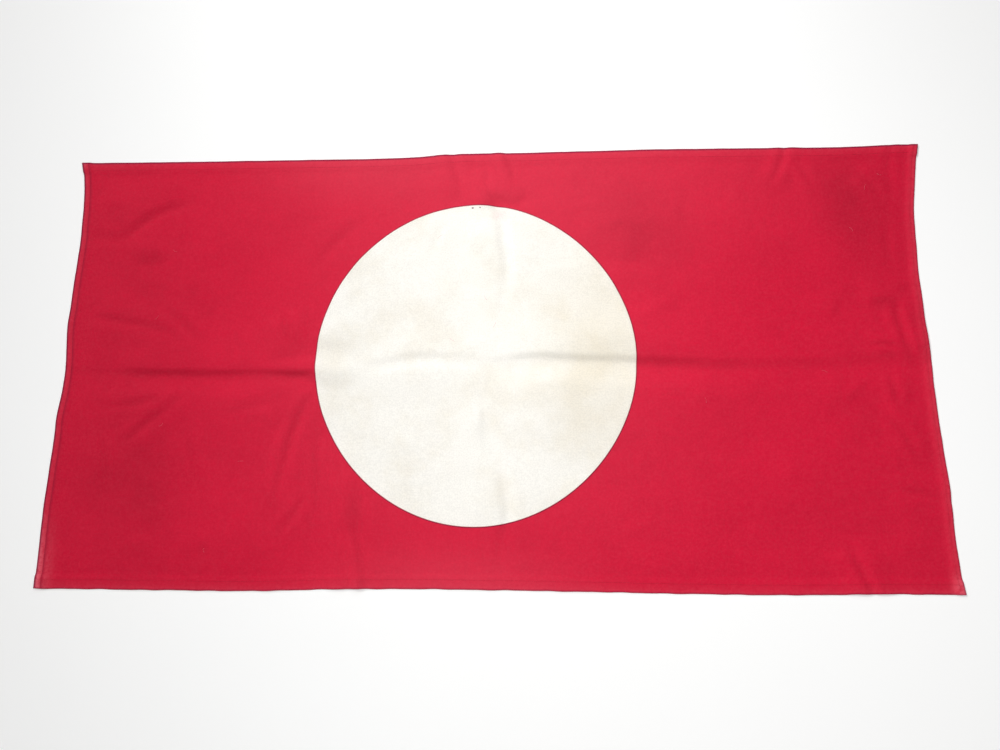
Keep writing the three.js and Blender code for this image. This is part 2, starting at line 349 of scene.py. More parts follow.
def linear(hex_colour):
    """An sRGB hex value as the linear colour that Blender mixes, with alpha."""
    channels = [int(hex_colour[i : i + 2], 16) / 255 for i in (1, 3, 5)]
    return [c / 12.92 if c <= 0.04045 else ((c + 0.055) / 1.055) ** 2.4 for c in channels] + [1.0]


def length(name, description, default):
    """A length in metres as a property."""
    return bpy.props.FloatProperty(
        name=name, description=description, default=default, min=0, precision=5, unit="LENGTH"
    )


def colour(name, description, hex_colour):
    """A colour as a property."""
    return bpy.props.FloatVectorProperty(
        name=name, description=description, default=linear(hex_colour), size=4, subtype="COLOR",
        min=0, max=1,
    )


class FlagSizes(bpy.types.PropertyGroup):
    """Sizes of the flag's pieces."""

    cell: length("Cell", "Mesh spacing over most of the cloth", 6.0 * MM)
    fold_cell: length("Fold cell", "Mesh spacing across the two long folds", 3.6 * MM)
    hem_cell: length("Hem cell", "Mesh spacing across a hem", 1.6 * MM)
    cloth: length("Red cloth", "Thickness of the red cotton", 0.6 * MM)
    disc_cloth: length("White cloth", "Thickness of the white cotton", 0.5 * MM)
    layer_gap: length("Layer gap", "Air between two layers that are sewn together", 0.16 * MM)
    pole_hem: length("Pole hem", "Width of the hem on the pole edge", 13 * MM)
    free_hem: length("Free hem", "Width of the hem on the free edge", 9 * MM)
    long_hem: length("Long hem", "Width of the hems on the upper and lower edges", 17 * MM)
    stitch_inset: length("Stitch inset", "From the inner edge of a hem to its stitching", 1.6 * MM)
    disc_inset: length("Disc inset", "From the disc's cut edge to its stitching", 3 * MM)
    stitch: length("Stitch", "Length of one stitch", 2.3 * MM)
    stitch_pitch: length("Stitch pitch", "From one stitch to the next", 3.1 * MM)
    thread: length("Thread", "Thickness of the sewing thread", 0.38 * MM)
    pucker: length("Pucker", "Height of the puckers along a row of stitches", 0.22 * MM)
    crumple: length("Crumple", "Height of the finest crumple all over the cloth", 0.45 * MM)


class FlagColours(bpy.types.PropertyGroup):
    """Colours of the flag's cloth, thread and floor."""

    red: colour("Red", "Red cotton where it is sound", "#cf1236")
    # worn red, and also the colour of the painted light in the paler patches where the cloth is lit most
    red_faded_and_lit: colour("Faded red", "Red cotton along worn edges", "#ed6576")
    red_deep: colour("Deep red", "Red cotton where it is darkest", "#b50f2e")
    white: colour("White", "White cotton where it is clean", "#f8f5ee")
    # yellowed white, and also the colour of the painted shade over the disc's right half
    white_soiled_and_shaded: colour("Soiled white", "White cotton where it has yellowed", "#e6ddca")
    # the colour of the painted shade on the folded edges, in the pole hem's groove and round the disc, and
    # of two real specks on the disc
    dark_red_shade_and_marks: colour("Red line", "Soiled red cotton on a cut or folded edge", "#74183a")
    red_thread: colour("Red thread", "Sewing thread in the hems", "#a5142c")
    white_thread: colour("White thread", "Sewing thread round the disc", "#efebe2")
    lint: colour("Lint", "Fibres that cling to the cloth", "#d98490")
    floor: colour("Floor", "The floor the flag lies on", "#d2d2d1")


# ---------------------------------------------------------------------------------------------------
# Shape of the cloth
# ---------------------------------------------------------------------------------------------------


def smooth(t):
    """Eases 0 to 1."""
    t = np.clip(t, 0, 1)
    return t * t * (3 - 2 * t)


def through(points, steps=6):
    """A smooth curve through points of any number of values, with some steps between each two."""
    p = np.array(points, dtype=float)
    p = np.vstack([2 * p[0] - p[1], p, 2 * p[-1] - p[-2]])
    curve = []
    for a, b, c, d in zip(p, p[1:], p[2:], p[3:]):
        for t in np.arange(steps) / steps:
            curve.append(
                b + t * (c - a) / 2 + t**2 * (2 * a - 5 * b + 4 * c - d) / 2
                + t**3 * (3 * b - a - 3 * c + d) / 2
            )
    return np.vstack([curve, p[-2]])


def edge_offset(table, place):
    """How far an edge lies outside the hemmed rectangle at places along it, in metres."""
    curve = through(table)
    return np.interp(place / MM, curve[:, 0], curve[:, 1]) * MM


def scallop(place):
    """The small waves that a narrow stitched hem leaves in an edge, in metres."""
    turn = 2 * math.pi * place / MM
    waves = 0.5 * np.sin(turn / 61 + 1) + 0.32 * np.sin(turn / 37) + 0.3 * np.sin(turn / 143 + 2)
    return waves * MM


def laid(x, y):
    """Where points of the hemmed rectangle lie in plan, once the edges have drawn in unevenly."""
    across = np.clip(x / HALF_LENGTH / 2 + 0.5, 0, 1)
    up = np.clip(y / HALF_DROP / 2 + 0.5, 0, 1)
    pole = edge_offset(POLE_EDGE, y) + 0.2 * scallop(y)
    free = edge_offset(FREE_EDGE, y) + 0.2 * scallop(y + 1)
    lower = edge_offset(LOWER_EDGE, x) + 0.5 * scallop(x) * smooth(1 - up * 8)
    upper = edge_offset(UPPER_EDGE, x) + 0.15 * scallop(x + 1) * smooth(up * 8 - 7)
    return x - (1 - across) * pole + across * free, y - (1 - up) * lower + up * upper


def crease_lift(section, route, x, y):
    """How high one crease lifts the cloth at points, in mm, and how dark its painted shade and soil are
    there, from 0 to 1.
    """
    path = through(route)
    at = np.array(section, dtype=float)
    reach = np.abs(at[:, 0]).max()
    near = np.flatnonzero(
        (x > path[:, 0].min() - reach) & (x < path[:, 0].max() + reach)
        & (y > path[:, 1].min() - reach) & (y < path[:, 1].max() + reach)
    )
    px, py = x[near], y[near]
    best = np.full(len(near), np.inf)
    side, share = np.zeros(len(near)), np.zeros(len(near))
    for (ax, ay, a_share), (bx, by, b_share) in zip(path, path[1:]):
        dx, dy = bx - ax, by - ay
        run = math.hypot(dx, dy)
        t = np.clip(((px - ax) * dx + (py - ay) * dy) / run**2, 0, 1)
        away = np.hypot(px - ax - t * dx, py - ay - t * dy)
        closer = away < best
        left = (dx * (py - ay) - dy * (px - ax)) >= 0
        best = np.where(closer, away, best)
        side = np.where(closer, np.where(left, away, -away), side)
        share = np.where(closer, a_share + t * (b_share - a_share), share)
    index = np.clip(np.searchsorted(at[:, 0], side, side="right") - 1, 0, len(at) - 2)
    low, high = at[index], at[index + 1]
    ease = smooth((side - low[:, 0]) / (high[:, 0] - low[:, 0]))
    height = low[:, 1] + (high[:, 1] - low[:, 1]) * ease
    share = np.clip(share, 0, None)
    lift, valley_shade_and_dirt = np.zeros(len(x)), np.zeros(len(x))
    lift[near] = height * share
    if (0, 0) in section:
        # a valley's line is painted darker: painted shade for the shadow in the crease, together with soil
        shaded_and_soiled = np.clip(share * at[:, 1].max() / DEEP_VALLEY, 0, 1)
        valley_shade_and_dirt[near] = shaded_and_soiled * np.exp(-((side / VALLEY_SHADE_WIDTH) ** 2))
    return lift, valley_shade_and_dirt


def ground(x, y, sizes):
    """The height of the red cloth's underside at points, in metres, and how much painted shade and soil the
    creases put on them.
    """
    squares, crease_shade_and_grime = np.zeros(len(x)), np.zeros(len(x))
    for section, route in CREASES.values():
        lift, valley_shade_and_dirt = crease_lift(section, route, x / MM, y / MM)
        squares += lift**2
        crease_shade_and_grime = np.maximum(crease_shade_and_grime, valley_shade_and_dirt)
    fine = sizes.crumple * crumple(x, y) + sizes.pucker * puckers(x, y, sizes)
    for section, route in small_creases(SMALL_CREASES, random.Random(5)):
        lift, _ = crease_lift(section, route, x / MM, y / MM)
        fine += lift * MM
    return RELIEF * np.sqrt(squares) * MM + fine, crease_shade_and_grime


def crumple(x, y):
    """Fine crumple as shares of its height: soft bumps, with a few short ridges between them."""
    soft, ridges = [], []
    for px, py in zip(x, y):
        soft.append(noise.noise(Vector((px / (52 * MM), py / (40 * MM), 0))))
        ridges.append(noise.noise(Vector((px / (23 * MM), py / (34 * MM), 7))))
    soft, ridges = np.array(soft), np.array(ridges)
    bumps = np.clip(0.5 + soft * 1.1, 0, None)
    narrow = np.clip(1 - np.abs(ridges) * 5, 0, 1)
    return bumps + 0.5 * narrow * np.clip(soft * 2, 0, 1)


def small_creases(count, rng):
    """Short shallow creases at random places, as cross sections and routes like those above."""
    made = []
    for _ in range(count):
        x, y = rng.uniform(-700, 700), rng.uniform(-350, 350)
        heading = rng.choice((0.1, 0.9, 1.6, 2.4, 2.9)) + rng.gauss(0, 0.25)
        reach, bend = rng.uniform(14, 34), rng.gauss(0, 0.35)
        route = []
        for share in (0, 1, rng.uniform(0.4, 1), 0):
            route.append((x, y, share))
            heading += bend
            x += reach * math.cos(heading)
            y += reach * math.sin(heading)
        height, steep = rng.uniform(0.3, 0.9), rng.uniform(6, 11)
        section = ((-steep, 0), (0, height), (rng.uniform(14, 34), 0))
        made.append((section, tuple(route)))
    return made


def puckers(x, y, sizes):
    """Short waves across each row of stitches as shares of their height."""
    reach = 9 * MM
    turn = 2 * math.pi / (11 * MM)
    wave_x = 0.5 + 0.5 * np.sin(x * turn + 2.2 * np.sin(x * turn / 4.7))
    wave_y = 0.5 + 0.5 * np.sin(y * turn + 2.2 * np.sin(y * turn / 5.3))
    pole = np.exp(-(((x + HALF_LENGTH - sizes.pole_hem) / reach) ** 2)) * wave_y
    free = np.exp(-(((x - HALF_LENGTH + sizes.free_hem) / reach) ** 2)) * wave_y
    long = 0.5 * np.exp(-(((np.abs(y) - HALF_DROP + sizes.long_hem) / reach) ** 2)) * wave_x
    angle = np.arctan2(y - DISC_CENTRE.y, x - DISC_CENTRE.x)
    wave_r = 0.5 + 0.5 * np.sin(150 * angle + 3 * np.sin(17 * angle))
    ring = 0.3 * np.exp(-(((inside_disc(x, y) - sizes.disc_inset) / reach) ** 2)) * wave_r
    return pole + free + long + ring


def inside_disc(x, y):
    """How far points lie inside the disc's cut edge, in metres, which is negative outside it."""
    across, up = (x - DISC_CENTRE.x) / DISC_RADII.x, (y - DISC_CENTRE.y) / DISC_RADII.y
    drawn_in = DISC_SQUARENESS * np.sin(2 * np.arctan2(up, across)) ** 2
    return DISC_RADII.x * (1 - np.hypot(across, up)) - drawn_in


def stations(stops):
    """Places from one stop to the next, each stop being (place, spacing up to the next stop)."""
    places = []
    for (start, spacing), (end, _) in zip(stops, stops[1:]):
        count = max(1, round((end - start) / spacing))
        places.extend(start + (end - start) * k / count for k in range(count))
    places.append(stops[-1][0])
    return np.array(places)


def hem_stations(inner, low_hem, high_hem, sizes):
    """Stations across a sheet whose two edges are turned under, from one cut edge round to the other.

    inner gives the stops between the two fold lines. The result is three arrays: each station's place,
    its turn round the fold in radians, which is half a turn under the sheet and negative at the low
    edge, and its place on the cloth as it was cut.
    """
    radius = (sizes.cloth + sizes.layer_gap) / 2
    round_fold = radius * math.pi
    main = stations(inner)
    bend = np.array([0.25, 0.5, 0.75]) * math.pi
    under_low, under_high = (np.linspace(0, hem - radius, 7) for hem in (low_hem, high_hem))
    low, high = main[0], main[-1]
    place = [
        low + under_low[::-1], np.full(len(bend), low), main, np.full(len(bend), high),
        high - under_high,
    ]
    turn = [
        np.full(len(under_low), -math.pi), -bend[::-1], np.zeros(len(main)), bend,
        np.full(len(under_high), math.pi),
    ]
    cut = [
        low - round_fold - under_low[::-1], low - radius * bend[::-1], main, high + radius * bend,
        high + round_fold + under_high,
    ]
    return np.concatenate(place), np.concatenate(turn), np.concatenate(cut)


def red_stations(edge, hems, fine, fold, sizes):
    """Stations across the red cloth, closest along its edges and close across a long fold.

    hems gives the widths of the low and the high hem, fine how far in from each edge the stations are
    closest, and fold from where to where the long fold runs.
    """
    settle = 8 * MM
    inner = (
        (-edge, sizes.hem_cell), (-edge + fine[0], 2 * sizes.hem_cell),
        (-edge + hems[0] + settle, sizes.cell), (fold[0], sizes.fold_cell),
        (fold[1], sizes.cell), (edge - hems[1] - settle, 2 * sizes.hem_cell),
        (edge - fine[1], sizes.hem_cell), (edge, 0),
    )
    return hem_stations(inner, hems[0], hems[1], sizes)


def edge_wear(pole, free, lower, upper):
    """How faded the red cloth is at points, from 0 to 1, from their distances in mm to its four edges."""
    low_end = 1 - smooth((lower + 10) / 170)
    nearest = np.minimum(np.minimum(pole, free), np.minimum(lower, upper))
    rim = 0.07 * (1 - smooth((nearest - 2) / 5)) + 0.07 * (1 - smooth((nearest - 4) / 16))
    free_rim = 0.06 * (1 - smooth((free - 2) / 24))
    pole_rim = 0.05 * (1 - smooth((pole - 7) / 5))
    pole_band = low_end * (0.9 * (1 - smooth((pole + 4) / 18)) + 0.34 * (1 - smooth((pole - 12) / 26)))
    low_corner = 0.7 * (1 - smooth(free / 26)) * (1 - smooth(lower / 42))
    up_corner = 0.3 * (1 - smooth(pole / 16)) * (1 - smooth(upper / 16))
    return np.clip(rim + free_rim + pole_rim + pole_band + low_corner + up_corner, 0, 1)


def edge_marks(pole, free, lower, upper, shade_and_soil, sizes):
    """Wear, painted shade with soil, and painted dark line of the red cloth from 0 to 1, from distances in
    mm to its four edges.

    shade_and_soil is the creases' painted shade and soil; painted shade in the groove that the pole hem's
    stitching draws in and a faint darkening along the long hems' inner edges are added to it. The line is
    painted shade on the folded edges and in that groove.
    """
    # painted shade: a dark line on the folded pole and upper edges, fainter on the free and lower ones
    dark_edges = 1 - smooth((np.minimum(pole, upper) - 1) / 2.8)
    faint_edges = 0.55 * (1 - smooth((np.minimum(free, lower) - 0.4) / 2.2))
    # painted shade in the groove that the pole hem's stitching draws in
    groove = np.exp(-(((pole - sizes.pole_hem / MM + 1.2) / 1.5) ** 2))
    ridge = np.exp(-(((np.minimum(lower, upper) - sizes.long_hem / MM) / 1.6) ** 2))
    wear = edge_wear(pole, free, lower, upper) * (1 - 0.7 * groove)
    # the creases' painted shade and soil, with the groove's painted shade and a faint darkening along the
    # long hems' inner edges
    shade_and_soil = np.maximum(shade_and_soil, np.maximum(1.6 * groove, 0.12 * ridge))
    line = np.maximum(np.maximum(dark_edges, faint_edges), 0.36 * groove)
    return wear, shade_and_soil, line


def hem_cover(inside, hem):
    """1 where a hem lies under the sheet and 0 where the sheet has come down again beyond it."""
    return 1 - smooth((inside - hem - 0.5 * MM) / (7 * MM))


def red_layers(x, turn_x, y, turn_y, sizes):
    """Places and heights of the middle of the red cloth before it is creased.

    The hems on the upper and lower edges are turned under first, and those on the pole edge and the free
    edge over them, so a corner has four layers.
    """
    step = sizes.cloth + sizes.layer_gap
    edge_x = HALF_LENGTH - step / 2 - sizes.cloth / 2
    edge_y = HALF_DROP - step / 2 - sizes.cloth / 2
    over_long_hem = step * hem_cover(edge_y - np.abs(y), sizes.long_hem)
    layer = np.where(turn_y == 0, over_long_hem, step / 2 * (1 + np.cos(turn_y)))
    side_cover = np.maximum(
        hem_cover(edge_x + x, sizes.pole_hem), hem_cover(edge_x - x, sizes.free_hem)
    )
    from_fold = step / 2 + layer
    fold_height = sizes.cloth / 2 + step / 2 + over_long_hem
    height = np.where(
        turn_x == 0,
        sizes.cloth / 2 + layer + side_cover * (step + over_long_hem),
        fold_height + from_fold * np.cos(turn_x),
    )
    return x + from_fold * np.sin(turn_x), y + step / 2 * np.sin(turn_y), height


# ---------------------------------------------------------------------------------------------------
# Making pieces
# ---------------------------------------------------------------------------------------------------


def finish_piece(name, bm, material):
    """Makes an object of a bmesh, gives it its material and lets it ride with the flag."""
    for face in bm.faces:
        face.smooth = True
    for edge in bm.edges:
        edge.smooth = not edge.is_boundary  # a cut edge stays sharp, so its thickness doesn't grey the face
    mesh = bpy.data.meshes.new(name)
    bm.to_mesh(mesh)
    bm.free()
    mesh.materials.append(material)
    piece = bpy.data.objects.new(name, mesh)
    bpy.context.scene.collection.objects.link(piece)
    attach(piece, "root")
    return piece


def thicken(piece, thickness):
    """Gives a sheet its thickness, half on either side."""
    solidify = piece.modifiers.new("Thickness", "SOLIDIFY")
    solidify.thickness = thickness
    solidify.offset = 0
    solidify.use_even_offset = False
    solidify.use_rim = True


def cloth_tree(name):
    """The upper surface of a finished sheet's middle, as a tree that rays can be cast at."""
    piece = bpy.data.objects.get(name)
    if piece is None:
        raise RuntimeError(f"make {name} first")
    bm = bmesh.new()
    bm.from_mesh(piece.data)
    tree = BVHTree.FromBMesh(bm)
    bm.free()
    return tree


def drop(tree, x, y):
    """The point of a cloth's middle under a place in plan, and the cloth's direction there."""
    point, normal, _, _ = tree.ray_cast(Vector((x, y, 1)), Vector((0, 0, -1)))
    if point is None:
        raise RuntimeError(f"no cloth under {x:.3f}, {y:.3f}")
    return point, normal if normal.z > 0 else -normal


def copies(bm, count):
    """A mesh of so many copies of a bmesh's shape, one after another in its vertices."""
    single = bpy.data.meshes.new("single")
    bm.to_mesh(single)
    bm.free()
    pattern = bpy.data.objects.new("pattern", single)
    bpy.context.scene.collection.objects.link(pattern)
    array = pattern.modifiers.new("Copies", "ARRAY")
    array.count = count
    array.use_relative_offset = False
    evaluated = pattern.evaluated_get(bpy.context.evaluated_depsgraph_get())
    many = bpy.data.meshes.new_from_object(evaluated)
    bpy.data.objects.remove(pattern)
    bpy.data.meshes.remove(single)
    return many


def sort_faces(bm):
    """Puts faces in an order that is the same on each run, which the operators don't promise."""
    direction = Vector((1, 10, 100))
    bm.faces.sort(key=lambda face: face.calc_center_median().dot(direction))


def stitches(ends, sizes):
    """A bmesh of one long bead of thread between each pair of points."""
    bm = bmesh.new()
    bmesh.ops.create_uvsphere(bm, u_segments=6, v_segments=4, radius=1)
    sort_faces(bm)
    bead = np.array([vert.co for vert in bm.verts])
    many = copies(bm, len(ends))
    placed = []
    for a, b in ends:
        turned = np.array((b - a).to_track_quat("Z", "Y").to_matrix())
        size = (sizes.thread / 2, sizes.thread / 2, (b - a).length / 2 + sizes.thread / 3)
        placed.append((bead * size) @ turned.T + np.array((a + b) / 2))
    many.vertices.foreach_set("co", np.concatenate(placed).ravel())
    bm = bmesh.new()
    bm.from_mesh(many)
    bpy.data.meshes.remove(many)
    return bm


def on_cloth(tree, pairs, rise):
    """Pairs of points on a cloth's upper side, from pairs of places in plan."""
    points = []
    for pair in pairs:
        ends = []
        for x, y in pair:
            point, normal = drop(tree, x, y)
            ends.append(point + normal * rise)
        points.append(ends)
    return points


def stitch_places(points, sizes, rng):
    """Pairs of ends of stitches spaced along a line of points in plan."""
    points = np.array(points)
    run = np.concatenate([[0], np.cumsum(np.hypot(*np.diff(points, axis=0).T))])
    starts = np.arange(0.5 * sizes.stitch_pitch, run[-1] - sizes.stitch, sizes.stitch_pitch)
    pairs = []
    for start in starts:
        start += rng.uniform(-0.1, 0.1) * sizes.stitch_pitch
        ends = []
        for at in (start, start + sizes.stitch):
            ends.append((
                np.interp(at, run, points[:, 0]) + rng.gauss(0, 0.07) * MM,
                np.interp(at, run, points[:, 1]) + rng.gauss(0, 0.07) * MM,
            ))
        pairs.append(ends)
    return pairs


def disc_outline(inset, count):
    """Points round the disc's cut edge, or a ring inside it."""
    angles = np.linspace(0, 2 * math.pi, count + 1)
    drawn_in = inset + DISC_SQUARENESS * np.sin(2 * angles) ** 2
    return np.column_stack([
        DISC_CENTRE.x + (DISC_RADII.x - drawn_in) * np.cos(angles),
        DISC_CENTRE.y + (DISC_RADII.y - drawn_in) * np.sin(angles),
    ])


# ---------------------------------------------------------------------------------------------------
# Materials
# ---------------------------------------------------------------------------------------------------


def add(tree, kind, inputs=None, **settings):
    """Adds a node, sets its properties, and sets or links its inputs."""
    made = tree.nodes.new(kind)
    for key, value in settings.items():
        setattr(made, key, value)
    for key, value in (inputs or {}).items():
        if isinstance(value, bpy.types.NodeSocket):
            tree.links.new(value, made.inputs[key])
        else:
            made.inputs[key].default_value = value
    return made


def new_material(name):
    """A material with one Principled shader."""
    material = bpy.data.materials.new(name)
    material.use_nodes = True
    tree = material.node_tree
    return material, tree, tree.nodes["Principled BSDF"]


def maths(tree, operation, a, b=0.0, clamp=False):
    """The result of one sum."""
    return add(tree, "ShaderNodeMath", {0: a, 1: b}, operation=operation, use_clamp=clamp).outputs[0]


def mixed(tree, share, a, b, blend="MIX"):
    """Two colours mixed by a share."""
    made = add(tree, "ShaderNodeMix", {0: share, 6: a, 7: b}, data_type="RGBA", blend_type=blend)
    return made.outputs[2]


def grey(tree, value):
    """A value as a grey colour."""
    return add(tree, "ShaderNodeCombineColor", {0: value, 1: value, 2: value}).outputs[0]


def fitted(tree, value, low, high, to_low=0.0, to_high=1.0):
    """A value moved from one range to another and held there."""
    inputs = {"Value": value, 1: low, 2: high, 3: to_low, 4: to_high}
    return add(tree, "ShaderNodeMapRange", inputs, interpolation_type="SMOOTHSTEP").outputs[0]


def grain(tree, place, scale, detail=3.0, rough=0.55, stretch=(1, 1, 1), offset=(0, 0, 0)):
    """Noise of so many lumps a metre, stretched along an axis where its factor is below 1."""
    moved = add(tree, "ShaderNodeMapping", {"Vector": place, "Location": offset, "Scale": stretch})
    inputs = {"Vector": moved.outputs[0], "Scale": scale, "Detail": detail, "Roughness": rough}
    return add(tree, "ShaderNodeTexNoise", inputs).outputs["Fac"]


def spot(tree, place, centre, radii, feather=1.0):
    """1 in the middle of an oval patch, in mm, falling to 0 at its edge."""
    scale = [1 / (r * MM) for r in radii] + [0]
    location = [-c * MM * s for c, s in zip(centre, scale)] + [0]
    moved = add(tree, "ShaderNodeMapping", {"Vector": place, "Location": location, "Scale": scale})
    away = add(tree, "ShaderNodeVectorMath", {0: moved.outputs[0]}, operation="LENGTH")
    return fitted(tree, away.outputs["Value"], 1.0, 1.0 - feather)


def disc_seam(tree, place, inner, outer):
    """1 on a line round the disc's cut edge, falling to 0 at distances in mm outside that edge."""
    scale = [1 / DISC_RADII.x, 1 / DISC_RADII.y, 0]
    location = [-DISC_CENTRE.x * scale[0], -DISC_CENTRE.y * scale[1], 0]
    moved = add(tree, "ShaderNodeMapping", {"Vector": place, "Location": location, "Scale": scale})
    away = add(tree, "ShaderNodeVectorMath", {0: moved.outputs[0]}, operation="LENGTH").outputs["Value"]
    parts = add(tree, "ShaderNodeSeparateXYZ", {0: moved.outputs[0]})
    product = maths(tree, "MULTIPLY", parts.outputs[0], parts.outputs[1])
    drawn_in = maths(tree, "MULTIPLY", maths(tree, "MULTIPLY", product, product), 4 * DISC_SQUARENESS / MM)
    outside = maths(tree, "MULTIPLY", maths(tree, "SUBTRACT", away, 1.0), DISC_RADII.x / MM)
    outside = maths(tree, "ADD", outside, drawn_in)
    rising = fitted(tree, outside, inner - 1.0, inner)
    return maths(tree, "MULTIPLY", rising, fitted(tree, outside, inner + 1.0, outer, 1.0, 0.0))


def weave(tree, cut, pitch):
    """The height of a plain weave: threads that pass over and under each other, at a pitch in metres."""
    inputs = {"Vector": cut, "Scale": math.pi / 20 / pitch, "Distortion": 0.0}
    warp, weft = (
        add(tree, "ShaderNodeTexWave", inputs, bands_direction=way).outputs["Fac"] for way in ("X", "Y")
    )
    both = maths(tree, "MULTIPLY", warp, weft)
    no_warp, no_weft = maths(tree, "SUBTRACT", 1.0, warp), maths(tree, "SUBTRACT", 1.0, weft)
    return maths(tree, "ADD", both, maths(tree, "MULTIPLY", no_warp, no_weft))


def slubs(tree, cut):
    """Thick and thin threads: streaks both ways through the cloth, from 0 to 1."""
    warp = grain(tree, cut, 900, 2.0, 0.5, stretch=(1, 0.03, 1))
    weft = grain(tree, cut, 900, 2.0, 0.5, stretch=(0.03, 1, 1), offset=(3, 5, 0))
    return maths(tree, "MULTIPLY", maths(tree, "ADD", warp, weft), 0.5)


def cloth_bump(tree, shader, cut, place, pitch, slub, wrinkle_height):
    """Gives a shader the weave, the slubs and the finest wrinkles as bump."""
    fine = grain(tree, place, 55, 4.0, 0.6, stretch=(1, 1.25, 1))
    wrinkles = add(tree, "ShaderNodeBump", {"Distance": wrinkle_height, "Height": fine})
    threads = add(
        tree, "ShaderNodeBump",
        {"Distance": 0.10 * MM, "Height": maths(tree, "ADD", weave(tree, cut, pitch), slub),
         "Normal": wrinkles.outputs[0]},
    )
    tree.links.new(threads.outputs[0], shader.inputs["Normal"])


# Soft oval patches where the red cloth is painted darker and where it is painted paler: middle and radii in
# mm, softness and amount. The darker ones are mostly painted shade, for the shadows of folds and for the
# light falling off towards the flag's ends; the paler ones are painted light.
RED_SHADE_PATCHES = (
    ((-600, -212), (120, 95), 0.9, 0.30),
    ((-564, -240), (66, 60), 1.0, 0.22),
    ((-606, 192), (44, 24), 0.8, 0.25),
    ((-666, 274), (40, 34), 0.9, 0.26),
    ((-590, -40), (130, 420), 1.0, 0.25),
    ((240, 240), (150, 130), 1.0, 0.42),
    ((20, 298), (44, 24), 1.0, 0.26),
    ((-222, -250), (20, 42), 0.8, 0.22),
    ((-400, -180), (60, 70), 1.0, 0.12),
    ((650, 235), (90, 190), 1.0, 0.55),
    ((604, 310), (72, 110), 1.0, 0.42),
    ((664, 100), (24, 9), 0.8, 0.25),
)
# painted light: the sheen along the upper edge, the pool of light in the middle, and two smaller lit
# patches
RED_LIGHT_PATCHES = (
    ((60, 400), (700, 420), 1.0, 0.17),
    ((-20, -60), (560, 460), 1.0, 0.11),
    ((-60, -370), (330, 90), 1.0, 0.12),
    ((-250, 360), (260, 100), 1.0, 0.08),
)


def patches(tree, place, table, start):
    """A value with the soft oval patches of a table added to it."""
    total = start
    for middle, radii, soft, amount in table:
        patch = maths(tree, "MULTIPLY", spot(tree, place, middle, radii, soft), amount)
        total = maths(tree, "ADD", total, patch)
    return total


def red_cotton(colours):
    """Light plain-weave cotton, worn paler along its folded edges, with painted shade in its creases, on
    its edges, in the pole hem's groove and in darker patches, and painted light in paler patches.
    """
    material, tree, shader = new_material("Red plain-weave cotton")
    place = add(tree, "ShaderNodeTexCoord").outputs["Object"]
    cut = add(tree, "ShaderNodeUVMap", uv_map="Cut").outputs["UV"]
    wear = add(tree, "ShaderNodeAttribute", attribute_name="Wear").outputs["Fac"]
    crease_shade_and_grime = add(tree, "ShaderNodeAttribute", attribute_name="Crease shade and grime").outputs["Fac"]
    painted_edge_shade = add(tree, "ShaderNodeAttribute", attribute_name="Painted edge shade").outputs["Fac"]
    slub = slubs(tree, cut)
    broken = fitted(tree, grain(tree, place, 70, 3.0, 0.6), 0.32, 0.62, 0.15, 1.0)

    clouds = maths(tree, "MULTIPLY", fitted(tree, grain(tree, place, 7, 3.0, 0.6), 0.40, 0.66), 0.16)
    # painted shade: the darker patches, and the creases' painted shade with soil
    dark = patches(tree, place, RED_SHADE_PATCHES, clouds)
    shade_and_soil = maths(tree, "MULTIPLY", maths(tree, "MULTIPLY", crease_shade_and_grime, broken), 0.4)
    dark = maths(tree, "ADD", dark, shade_and_soil, clamp=True)
    body = mixed(tree, dark, list(colours.red), list(colours.red_deep))
    speckle = fitted(tree, grain(tree, place, 300, 4.0, 0.65), 0.3, 0.7, 0.97, 1.03)
    mottle = fitted(tree, grain(tree, place, 70, 4.0, 0.65), 0.3, 0.7, 0.98, 1.02)
    threads = fitted(tree, slub, 0.40, 0.60, 0.98, 1.02)
    tone = maths(tree, "MULTIPLY", maths(tree, "MULTIPLY", speckle, mottle), threads)
    body = mixed(tree, 1.0, body, grey(tree, tone), "MULTIPLY")
    fluff = fitted(tree, grain(tree, place, 240, 5.0, 0.8, offset=(4, 1, 0)), 0.35, 0.75, 0.0, 0.09)
    body = mixed(tree, fluff, body, list(colours.red_faded_and_lit))
    # painted light: paler patches for the sheen along the upper edge and the pool of light in the middle
    painted_light = patches(tree, place, RED_LIGHT_PATCHES, 0.0)
    body = mixed(tree, painted_light, body, list(colours.red_faded_and_lit))
    patchy = fitted(tree, grain(tree, place, 180, 4.0, 0.65), 0.3, 0.6, 0.35, 1.0)
    body = mixed(tree, maths(tree, "MULTIPLY", wear, patchy), body, list(colours.red_faded_and_lit))
    # painted shade: the dark line on the folded edges and in the pole hem's groove, and a painted shadow
    # just outside the disc's edge
    line = maths(tree, "MAXIMUM", painted_edge_shade, disc_seam(tree, place, -0.2, 2.4))
    body = mixed(tree, maths(tree, "MULTIPLY", line, 0.8), body, list(colours.dark_red_shade_and_marks))
    tree.links.new(body, shader.inputs["Base Color"])

    rough = fitted(tree, slub, 0.40, 0.60, 0.72, 0.84)
    tree.links.new(rough, shader.inputs["Roughness"])
    shader.inputs["Specular IOR Level"].default_value = 0.10
    shader.inputs["Sheen Weight"].default_value = 0.02
    shader.inputs["Sheen Roughness"].default_value = 0.5
    shader.inputs["Sheen Tint"].default_value = linear("#ffb0b8")
    # The threads are twice as coarse as the real ones, so that they show in a picture of the whole flag.
    cloth_bump(tree, shader, cut, place, 1.0 * MM, slub, 0.5 * MM)
    return material


